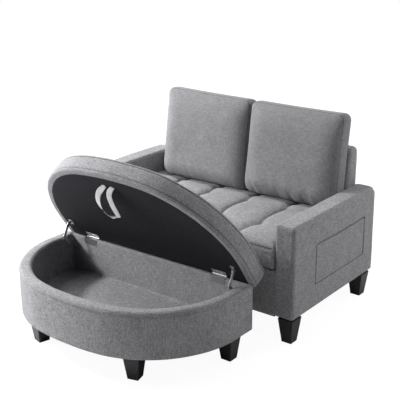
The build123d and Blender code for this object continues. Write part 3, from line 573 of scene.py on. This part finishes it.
def buildPillow(name, x0, seed, gather):
    outline = pillowOutline()
    centre = np.array([0, pillow["height"] / 2])

    def swell(flat, reaches, powers):
        half = pillow["width"] / 2 - pillow["taper"] * flat[:, 1] / pillow["height"]
        gaps = (half + flat[:, 0], half - flat[:, 0], flat[:, 1], pillow["height"] - flat[:, 1])
        shares = [1 - (1 - np.clip(g / r, 0, 1)) ** power for g, r, power in zip(gaps, reaches, powers)]
        return np.prod(shares, axis=0)

    rows = []
    rings = pillow["rings"]
    shares = 1 - np.linspace(0, 1, rings) ** 1.6
    for share in shares[::-1][:-1]:
        rows.append((share, 0.0, "back"))
    sideSteps = (0, 0.03, 0.07, 0.12, 0.2, 0.32, 0.5, 0.68, 0.8, 0.88, 0.93, 0.97, 1)
    for t in sideSteps:
        rows.append((1.0, t, "side"))
    for share in shares[1:]:
        rows.append((share, 1.0, "front"))
    points = []
    for share, depth, part in rows:
        flat = centre + (outline - centre) * share
        reach = np.abs(outline - centre).max(axis=1)
        inset = (1 - share) * np.minimum(reach, 0.25)
        if part == "side":
            out = pillow["cheek"] * (1 - abs(2 * depth - 1) ** 3.5)
            flat = centre + (outline - centre) * (1 + out / 0.25)
            y = np.full(len(flat), -pillow["boxing"] * depth)
        elif part == "front":
            bulge = swell(flat, pillow["reach"], pillow["power"])
            lip = pillow["lip"] * (1 - np.exp(-inset / 0.006))
            y = -pillow["boxing"] - lip - pillow["crown"] * bulge
        else:
            y = pillow["backCrown"] * swell(flat, (0.16,) * 4, (2.2,) * 4)
        points.append(np.stack([flat[:, 0], y, flat[:, 1]], 1))
    count = len(outline)
    points = np.concatenate(points)
    faces = gridFaces(len(rows), count, True)
    faces += [tuple(range(count))[::-1], tuple((len(rows) - 1) * count + j for j in range(count))]
    frontShare = np.clip((-points[:, 1] - pillow["boxing"]) / 0.02, 0, 1)
    flat = np.stack([points[:, 0], points[:, 2], points[:, 0] * 0], 1)
    edge = np.clip((pillow["height"] - np.abs(points[:, 2] - 0.238) * 2) / 0.12, 0, 1)
    lump = 0.0032 * softNoise(flat, 0.13, seed) + 0.0013 * softNoise(flat, 0.055, seed + 2)
    stretch = flat * np.array([1, 0.22, 1])
    low = np.exp(-np.clip(points[:, 2] - 0.01, 0, 1) / 0.05)
    pleats = gather * softNoise(stretch, 0.026, seed + 4) * low * (0.7 + 0.5 * softNoise(flat, 0.16, seed + 6))
    points[:, 1] -= frontShare * (lump + pleats)
    under = np.clip(1 - points[:, 2] / pillow["tuckHeight"], 0, 1) ** 2
    points[:, 1] += pillow["tuck"] * under * np.clip(-points[:, 1] / pillow["boxing"], 0, 1)
    if name == "left":
        points[:, 2] += pillow["tilt"] * (0.5 - points[:, 0] / pillow["width"]) * points[:, 2] / pillow["height"]
    turn = math.radians(pillow["lean"])
    y, z = points[:, 1].copy(), points[:, 2].copy()
    points[:, 1] = pillow["restY"] + y * math.cos(turn) + z * math.sin(turn)
    points[:, 2] = pillow["restZ"] - y * math.sin(turn) + z * math.cos(turn)
    points[:, 0] += x0
    body = name + "_back_cushion"
    addMesh(name + "Pillow", points, faces, plainCloth, body, [body + "_cover"])
    # The dark tubes on the cushion's front and back seams are painted shade in the seam lines
    seams = []
    for depth in (0.0, 1.0):
        start = (rings - 1 + (0 if depth == 0 else 12)) * count
        ring = points[start:start + count]
        seams.append(tube(ring, 0.0011, closed=True))
    seamPoints, seamFaces = joinShapes(seams)
    addMesh(name + "PillowSeams", seamPoints, seamFaces, paintedSeamShade, body)


buildPillow("left", pillow["leftX"], 41, 0.004)
buildPillow("right", pillow["rightX"], 57, 0.012)
print("OK back cushions")

# Half-moon outline shared by the ottoman and its lid
moonShape = {"half": 0.586, "depth": 0.607, "side": 0.122, "corner": 0.477, "x": 0.016, "y": -0.1685, "step": 0.008}


def moonPath(inset, rear, cornerRadius=0.0, shift=0.0, closed=False):
    a, r = moonShape["half"] - inset, moonShape["corner"] - inset
    s, depth = moonShape["side"], moonShape["depth"]
    c = moonShape["corner"]
    big = ((moonShape["half"] - c) ** 2 + (depth - s) ** 2 - c**2) / (2 * (depth - s - c))
    centre = big - depth
    phi = math.atan2(-s - centre, moonShape["half"] - c)
    step = moonShape["step"]
    points, normals = [], []

    def arc(cx, cy, radius, start, end):
        count = max(3, int(abs(end - start) * radius / step))
        for t in np.linspace(start, end, count):
            points.append((cx + radius * math.cos(t), cy + radius * math.sin(t)))
            normals.append((math.cos(t), math.sin(t)))

    q = cornerRadius
    if q:
        arc(-a + q, rear - q, q, math.pi / 2, math.pi)
    for y in np.arange(rear - q - step / 2, -s, -step):
        points.append((-a, y))
        normals.append((-1, 0))
    arc(-(moonShape["half"] - c), -s, r, math.pi, -phi + math.pi)
    points.pop()
    normals.pop()
    arc(0, centre, big - inset, -math.pi - phi, phi)
    points.pop()
    normals.pop()
    arc(moonShape["half"] - c, -s, r, phi, 0)
    for y in np.arange(-s + step / 2, rear - q, step):
        points.append((a, y))
        normals.append((1, 0))
    if q:
        arc(a - q, rear - q, q, 0, math.pi / 2)
    if not q:
        points[0] = (-a, rear)
        points[-1] = (a, rear)
    if closed:
        for x in np.linspace(a - q, -a + q, int(2 * (a - q) / step))[1:-1]:
            points.append((x, rear))
            normals.append((0, 1))
    points = np.array(points)
    points[:, 1] += shift
    return points, np.array(normals, float)


def place(points):
    return points + np.array([moonShape["x"], moonShape["y"], 0])


def sweep(path, normals, profile, closedPath=False):
    """Rings along the path; profile is a closed loop of (inset, z)."""
    rings = []
    for inset, z in profile:
        flat = path - normals * inset
        rings.append(np.column_stack([flat, np.full(len(flat), z)]))
    points = np.stack(rings, axis=1)
    count, loop = points.shape[:2]
    faces = gridFaces(count, loop, True)
    if closedPath:
        last = (count - 1) * loop
        faces += [(last + j, last + (j + 1) % loop, (j + 1) % loop, j) for j in range(loop)]
    else:
        faces += [tuple(range(loop))[::-1], tuple((count - 1) * loop + j for j in range(loop))]
    return points.reshape(-1, 3), faces, loop


def arcProfile(cx, cz, radius, start, end, count=7):
    turns = np.radians(np.linspace(start, end, count))
    return [(cx + radius * math.cos(t), cz + radius * math.sin(t)) for t in turns]


# Ottoman: outer cover, soft rim, lining
ottoman = {"bottom": 0.122, "seam": 0.324, "top": 0.344, "rim": 0.062, "roll": 0.0195, "backTop": 0.340,
           "backDepth": 0.021, "floorTop": 0.156}

path, normals = moonPath(0, 0, cornerRadius=0.008)
profile = arcProfile(0.005, 0.127, 0.005, 180, 270, 4)[::-1]
profile = [(0.0075, 0.122)] + [(inset, z) for inset, z in profile]
profile += [(0, z) for z in np.linspace(0.135, 0.318, 16)] + [(0.001, 0.325), (0.0075, 0.325)]
points, faces, loop = sweep(path, normals, profile)
wave = 0.0011 * softNoise(points, 0.10, 61) + 0.0005 * softNoise(points, 0.04, 62)
outward = np.repeat(normals, loop, axis=0)
points[:, :2] += outward * (wave - 0.0004)[:, None] * (points[:, 1:2] < -0.012)
addMesh("ottomanCover", place(points), faces, cloth, "ottoman", ["ottoman_cover"])

path, normals = moonPath(0, 0)
roll, width = ottoman["roll"], ottoman["rim"]
profile = [(0.004, 0.3225), (0.0, 0.3245)]
profile += [(roll - roll * math.cos(t), 0.3245 + roll * math.sin(t)) for t in np.linspace(0.15, math.pi / 2, 8)]
profile += [(inset, 0.344 + 0.0005) for inset in np.linspace(roll + 0.004, width - roll - 0.004, 4)]
profile += [(width - roll + roll * math.sin(t), 0.3245 + roll * math.cos(t)) for t in np.linspace(0, math.pi / 2 - 0.15, 8)]
profile += [(width, 0.3245), (width - 0.004, 0.3225)]
points, faces, loop = sweep(path, normals, profile)
wave = 0.0012 * softNoise(points, 0.09, 65) + 0.0006 * softNoise(points, 0.035, 66)
points[:, 2] += wave * (points[:, 2] > 0.335)
ends = np.clip(-points[:, 1] / 0.012, 0, 1)
points[:, 2] -= 0.006 * (1 - ends) ** 2 * (points[:, 2] > 0.33)
addMesh("ottomanRim", place(points), faces, cloth, "ottoman", ["ottoman_rim"])

inner, innerNormals = moonPath(width, -ottoman["backDepth"] + 0.0006, cornerRadius=0.010, closed=True)
rows = [(0.0, z) for z in np.linspace(0.330, 0.172, 14)]
rows += [(0.009 - 0.009 * math.cos(t), 0.165 - 0.009 * math.sin(t)) for t in np.linspace(0.2, math.pi / 2, 5)]
rings = [np.column_stack([inner - innerNormals * i, np.full(len(inner), z)]) for i, z in rows]
middle = np.array([0, -0.24])
edge = inner - innerNormals * 0.009
for share in np.linspace(0.97, 0.0, 30) ** 0.9:
    flat = middle + (edge - middle) * share
    rings.append(np.column_stack([flat, np.full(len(flat), ottoman["floorTop"])]))
points = np.concatenate(rings)
count = len(inner)
faces = [f[::-1] for f in gridFaces(len(rings), count, True)]
wave = 0.0010 * softNoise(points, 0.08, 71) + 0.0005 * softNoise(points, 0.03, 72)
wall = np.arange(len(points)) < len(rows) * count
points[~wall, 2] += wave[~wall]
points[wall, :2] -= np.tile(innerNormals, (len(rows), 1)) * np.abs(wave[wall])[:, None]
lining = addMesh("ottomanLining", place(points), faces, cloth, "ottoman", ["ottoman_lining"])

edge, edgeNormals = moonPath(dust["moonInset"], dust["moonRear"], cornerRadius=0.004, closed=True)
rings = []
for share in np.linspace(1, 0, 30):
    flat = middle + (edge - middle) * share
    sag = dust["wave"] * softNoise(np.column_stack([flat, flat[:, 0] * 0]), 0.12, 78)
    rings.append(np.column_stack([flat, dust["level"] + sag]))
points, count = np.concatenate(rings), len(edge)
faces = gridFaces(len(rings), count, True)
moonDust = addMesh("ottomanDustCover", place(points), faces, panelCloth, "ottoman", ["ottoman_dust_cover"])

reach = moonShape["half"] - 0.008
points, faces, away = softBox(
    [-reach, -ottoman["backDepth"], ottoman["bottom"]], [reach, 0.0003, ottoman["backTop"]], 0.004, 0.014
)
points += away * (0.0004 * softNoise(points, 0.07, 75))[:, None]
addMesh("ottomanBack", place(points), faces, cloth, "ottoman", ())
print("OK ottoman")

# Lid, shaped closed and then swung open about the hinge pins
lid = {"under": 0.349, "open": 56.0, "pin": 0.3445, "half": 0.584, "rear": 0.044, "shift": 0.020, "band": 0.092,
       "crown": 0.014, "roll": 0.012, "corner": 0.022, "bulge": 0.0032, "pinch": 0.0030, "panelInset": 0.033}


def swing(points):
    turn = -math.radians(lid["open"])
    y, z = points[:, 1].copy(), points[:, 2] - lid["pin"]
    turned = points.copy()
    turned[:, 1] = y * math.cos(turn) - z * math.sin(turn)
    turned[:, 2] = lid["pin"] + y * math.sin(turn) + z * math.cos(turn)
    return place(turned)


outline, outlineNormals = moonPath(0.002, lid["rear"] - lid["shift"], cornerRadius=lid["corner"],
                                   shift=lid["shift"], closed=True)
skeleton = np.column_stack([np.clip(outline[:, 0], -0.25, 0.25) * 0.9, -0.20 + 0.15 * (outline[:, 1] + 0.20)])
inward = skeleton - outline
inward /= np.linalg.norm(inward, axis=1, keepdims=True)
facing = np.clip(-(inward * outlineNormals).sum(1), 0.8, 1)[:, None]


def lidRing(inset, z):
    near = outline - outlineNormals * inset
    far = outline + inward * inset / facing
    blend = min(1.0, max(0.0, (inset - 0.008) / 0.012))
    flat = near * (1 - blend) + far * blend
    return np.column_stack([flat, np.full(len(flat), lid["under"] + z)])


roll = lid["roll"]
rings = [lidRing(0.060, 0.003), lidRing(0.045, 0.002), lidRing(0.036, 0.0006), lidRing(0.025, 0.0)]
rings += [lidRing(roll - roll * math.sin(t), roll - roll * math.cos(t)) for t in np.linspace(0, math.pi / 2, 9)]
seamLevels = (roll + 0.0015, lid["band"] - 0.009)
levels = np.unique(np.round(np.concatenate([
    np.linspace(roll + 0.004, lid["band"] - 0.006, 13),
    [level + d for level in seamLevels for d in (-0.0025, -0.0012, 0, 0.0012, 0.0025)],
]), 5))
for z in levels[levels > roll]:
    t = (z - roll) / (lid["band"] - roll - 0.006)
    pinch = sum(math.exp(-(((z - level) / 0.0020) ** 2)) for level in seamLevels)
    rings.append(lidRing(lid["pinch"] * pinch - lid["bulge"] * math.sin(math.pi * min(1.0, t)) ** 0.6, z))
top = lid["band"] - 0.006
for t in np.linspace(0.12, 1, 7):
    rings.append(lidRing(0.016 * (1 - math.cos(t * math.pi / 2)), top + 0.011 * math.sin(t * math.pi / 2)))
edgeInset, edgeZ = 0.016, top + 0.011
peak = lid["band"] + lid["crown"]
for inset in (0.022, 0.030, 0.040, 0.052, 0.066, 0.082, 0.100, 0.120, 0.142):
    rise = 1 - math.exp(-(inset - edgeInset) / 0.045)
    rings.append(lidRing(inset, edgeZ + (peak - edgeZ) * rise))
last = rings[-1]
heart = np.array([0, -0.235])
for share in np.linspace(0.92, 0.0, 14):
    flat = heart + (last[:, :2] - heart) * share
    rise = peak - (peak - (last[0, 2] - lid["under"])) * share
    rings.append(np.column_stack([flat, np.full(len(flat), lid["under"] + rise)]))
count = len(outline)
points = np.concatenate(rings)
faces = gridFaces(len(rings), count, True)
wave = 0.0016 * softNoise(points, 0.12, 81) + 0.0007 * softNoise(points, 0.045, 82)
upper = points[:, 2] > lid["under"] + lid["band"] - 0.002
points[upper, 2] += wave[upper] * 1.2
band = (points[:, 2] > lid["under"] + 0.012) & ~upper
points[band, :2] += np.tile(outlineNormals, (len(rings), 1))[band] * (wave[band] * 0.8)[:, None]
points[:, 2] = np.maximum(points[:, 2], lid["under"])
addMesh("lidCover", swing(points), faces, cloth, "lid", ["lid_cover"])
# The dark tubes on the band's seams are painted shade standing for the shadow in the seam grooves
seams = []
for z in seamLevels:
    seams.append(tube(swing(lidRing(0.0014, z)), 0.0014, closed=True))
points, faces = joinShapes(seams)
addMesh("lidSeams", points, faces, paintedSeamShade, "lid")

edge = lidRing(lid["panelInset"], 0.0)
rings = [edge + np.array([0, 0, 0.0012]), edge]
for share in np.linspace(0.985, 0.0, 26):
    flat = heart + (edge[:, :2] - heart) * share
    sag = 0.0004 * softNoise(np.column_stack([flat, flat[:, 0] * 0]), 0.09, 91) - 0.0007
    rings.append(np.column_stack([flat, lid["under"] + sag]))
points = np.concatenate(rings)
faces = gridFaces(len(rings), count, True)
panel = addMesh("lidPanel", swing(points), [f[::-1] for f in faces], panelCloth, "lid", ["lid_panel"])
print("OK lid")

# Pull loop of webbing: two bowed strands that meet at the tip, hanging while the lid is open
loopStrap = {"start": 0.503, "reach": 0.210, "web": 0.031, "thick": 0.0019, "x": -0.012, "steps": 72}
pathShares = ((0.0, 0.0), (0.04, 0.09), (0.2, 0.19), (0.38, 0.285), (0.6, 0.38))
strandShares = (
    ((-0.105, 0.0), (-0.17, 0.045), (-0.243, 0.118), (-0.283, 0.22), (-0.278, 0.31), (-0.232, 0.402),
     (-0.142, 0.482), (-0.01, 0.540), (0.10, 0.562), (0.20, 0.560)),
    ((0.118, 0.0), (0.075, 0.06), (0.06, 0.14), (0.08, 0.2), (0.118, 0.28), (0.165, 0.36), (0.21, 0.43),
     (0.245, 0.5), (0.262, 0.547)),
)
twistShares = ((0, 0, 0, 0.05, 0.2, 0.45, 0.72, 0.9, 0.97, 1.0), (0, 0, 0, 0, 0, 0, 0, 0, 0, 0))


def smoothPath(points, count):
    points = np.array(points, float)
    ends = np.vstack([2 * points[0] - points[1], points, 2 * points[-1] - points[-2]])
    result = []
    for t in np.linspace(0, len(points) - 1 - 1e-6, count):
        i = int(t)
        f = t - i
        a, b, c, d = ends[i:i + 4]
        result.append(0.5 * (2 * b + (c - a) * f + (2 * a - 5 * b + 4 * c - d) * f**2 + (3 * b - a - 3 * c + d) * f**3))
    return np.array(result)


def bandShape(centres, across, thick):
    """Flat webbing with soft edges along a centre line; across holds half of its width."""
    along = np.gradient(centres, axis=0)
    along /= np.linalg.norm(along, axis=1, keepdims=True)
    out = np.cross(along, across)
    out /= np.linalg.norm(out, axis=1, keepdims=True)
    section = [(-1, -0.25), (-1, 0.25), (-0.93, 0.5), (-0.5, 0.42), (0, 0.5), (0.5, 0.42), (0.93, 0.5),
               (1, 0.25), (1, -0.25), (0.93, -0.5), (0, -0.42), (-0.93, -0.5)]
    rings = [centres + across * a + out * thick * b for a, b in section]
    points = np.stack(rings, axis=1).reshape(-1, 3)
    sides = len(section)
    faces = gridFaces(len(centres), sides, True)
    faces += [tuple(range(sides))[::-1], tuple((len(centres) - 1) * sides + j for j in range(sides))]
    return points, faces


drop = smoothPath([(-loopStrap["start"] + loopStrap["reach"] * a, lid["under"] - loopStrap["reach"] * b)
                   for a, b in pathShares], 200)
shapes = []
for strand, twist in zip(strandShares, twistShares):
    line = smoothPath([(loopStrap["x"] + loopStrap["reach"] * a, loopStrap["reach"] * b - loopStrap["start"])
                       for a, b in strand], loopStrap["steps"])
    level = np.interp(line[:, 1], drop[:, 0], drop[:, 1])
    centres = np.column_stack([line, level - loopStrap["thick"] * 0.5])
    along = np.gradient(centres, axis=0)
    along /= np.linalg.norm(along, axis=1, keepdims=True)
    turn = np.interp(np.linspace(0, 1, len(line)), np.linspace(0, 1, len(twist)), twist) * math.radians(50)
    tilted = np.column_stack([np.cos(turn), np.sin(turn) * -0.559, np.sin(turn) * -0.829])
    across = tilted - along * (tilted * along).sum(1, keepdims=True)
    across /= np.linalg.norm(across, axis=1, keepdims=True)
    narrow = np.interp(np.linspace(0, 1, len(line)), (0, 0.7, 1), (1, 1, 0.9))[:, None]
    shapes.append(bandShape(centres, across * narrow * loopStrap["web"] / 2, loopStrap["thick"]))
points, faces = joinShapes(shapes)
points[:, 2] = np.minimum(points[:, 2], lid["under"] - 0.0002)
addMesh("pullLoop", swing(points), faces, webCloth, "lid", ["lid_pull_loop"])
print("OK pull loop")

# Floor, light and camera
def areaLight(name, location, target, size, power, colour=(1, 1, 1)):
    data = bpy.data.lights.new(name, "AREA")
    data.shape = "RECTANGLE"
    data.size, data.size_y = size
    data.energy = power
    data.color = colour
    light = bpy.data.objects.new(name, data)
    light.location = location
    light.rotation_euler = (Vector(target) - Vector(location)).to_track_quat("-Z", "Y").to_euler()
    bpy.context.scene.collection.objects.link(light)
    light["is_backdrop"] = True


studio = {"keyPower": 76, "frontPower": 66, "highPower": 50, "topPower": 32, "sidePower": 17, "rearPower": 50,
          "lowPower": 3, "leftRearPower": 60, "ambient": 0.0}
lamps = (
    ("key", (-2.29, -1.22, 1.77), studio["keyPower"], 0.30),
    ("leftFront", (-2.6, -2.6, 1.8), studio["frontPower"], 1.6),
    ("leftHigh", (-2.6, -0.2, 2.8), studio["highPower"], 1.6),
    ("top", (0, 0, 3.2), studio["topPower"], 2.2),
    ("right", (3.4, 0.6, 1.6), studio["sidePower"], 1.8),
    ("rightRear", (2.4, 2.6, 2.2), studio["rearPower"], 1.6),
    ("lowFront", (0.2, -3.8, 0.7), studio["lowPower"], 1.4),
    ("leftRear", (-2.8, 1.1, 1.9), studio["leftRearPower"], 1.2),
)
for lampName, location, power, size in lamps:
    areaLight(lampName, location, (0, -0.1, 0.35), (size, size), power)

world = bpy.data.worlds.new("studio")
bpy.context.scene.world = world
world.use_nodes = True
tree = world.node_tree
ambient = tree.nodes["Background"]
ambient.inputs["Color"].default_value = (1, 1, 1, 1)
ambient.inputs["Strength"].default_value = studio["ambient"]
seen = nodeOf(tree, "ShaderNodeBackground")
seen.inputs["Color"].default_value = (1, 1, 1, 1)
seen.inputs["Strength"].default_value = 1.0
ray = tree.nodes.new("ShaderNodeLightPath")
choose = tree.nodes.new("ShaderNodeMixShader")
tree.links.new(ray.outputs["Is Camera Ray"], choose.inputs[0])
tree.links.new(ambient.outputs[0], choose.inputs[1])
tree.links.new(seen.outputs[0], choose.inputs[2])
tree.links.new(choose.outputs[0], tree.nodes["World Output"].inputs["Surface"])

floorMesh = bpy.data.meshes.new("floor")
floorMesh.from_pydata([(-9, -9, -0.0004), (9, -9, -0.0004), (9, 9, -0.0004), (-9, 9, -0.0004)], [], [(0, 1, 2, 3)])
floor = bpy.data.objects.new("floor", floorMesh)
bpy.context.scene.collection.objects.link(floor)
paper = bpy.data.materials.new("paper")
paper.use_nodes = True
tree = paper.node_tree
shader = tree.nodes["Principled BSDF"]
shader.inputs["Base Color"].default_value = (0.9, 0.9, 0.9, 1)
shader.inputs["Roughness"].default_value = 0.9
glow = tree.nodes.new("ShaderNodeEmission")
glow.inputs["Strength"].default_value = 1.10
ray = tree.nodes.new("ShaderNodeLightPath")
spot = tree.nodes.new("ShaderNodeTexCoord")
away = nodeOf(tree, "ShaderNodeVectorMath", operation="LENGTH")
tree.links.new(spot.outputs["Object"], away.inputs[0])
fade = nodeOf(tree, "ShaderNodeMapRange")
for socket, value in (("From Min", 1.2), ("From Max", 2.6), ("To Min", 0.86), ("To Max", 1.0)):
    fade.inputs[socket].default_value = value
tree.links.new(away.outputs["Value"], fade.inputs["Value"])
amount = nodeOf(tree, "ShaderNodeMath", operation="MULTIPLY")
tree.links.new(fade.outputs[0], amount.inputs[1])
tree.links.new(ray.outputs["Is Camera Ray"], amount.inputs[0])
choose = tree.nodes.new("ShaderNodeMixShader")
tree.links.new(amount.outputs[0], choose.inputs[0])
tree.links.new(shader.outputs[0], choose.inputs[1])
tree.links.new(glow.outputs[0], choose.inputs[2])
tree.links.new(choose.outputs[0], tree.nodes["Material Output"].inputs["Surface"])
floorMesh.materials.append(paper)
floor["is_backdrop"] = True

view = {"location": (2.6641, -3.2069, 1.9966), "yaw": 37.821, "pitch": 18.849, "roll": -0.578, "focal": 897.08}
yaw, pitch, tilt = (math.radians(view[k]) for k in ("yaw", "pitch", "roll"))
forward = Vector((-math.sin(yaw) * math.cos(pitch), math.cos(yaw) * math.cos(pitch), -math.sin(pitch)))
right = Vector((math.cos(yaw), math.sin(yaw), 0))
up = right.cross(forward)
side = right * math.cos(tilt) + up * math.sin(tilt)
upright = up * math.cos(tilt) - right * math.sin(tilt)
cameraData = bpy.data.cameras.new("camera")
cameraData.sensor_width = 36
cameraData.lens = 36 * view["focal"] / 400
camera = bpy.data.objects.new("camera", cameraData)
camera.matrix_world = Matrix.Translation(view["location"]) @ Matrix((side, upright, -forward)).transposed().to_4x4()
bpy.context.scene.collection.objects.link(camera)
bpy.context.scene.camera = camera
bpy.context.scene.view_settings.view_transform = "Standard"
camera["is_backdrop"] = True
print("OK stage")

visualBox = [list(corner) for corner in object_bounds()]
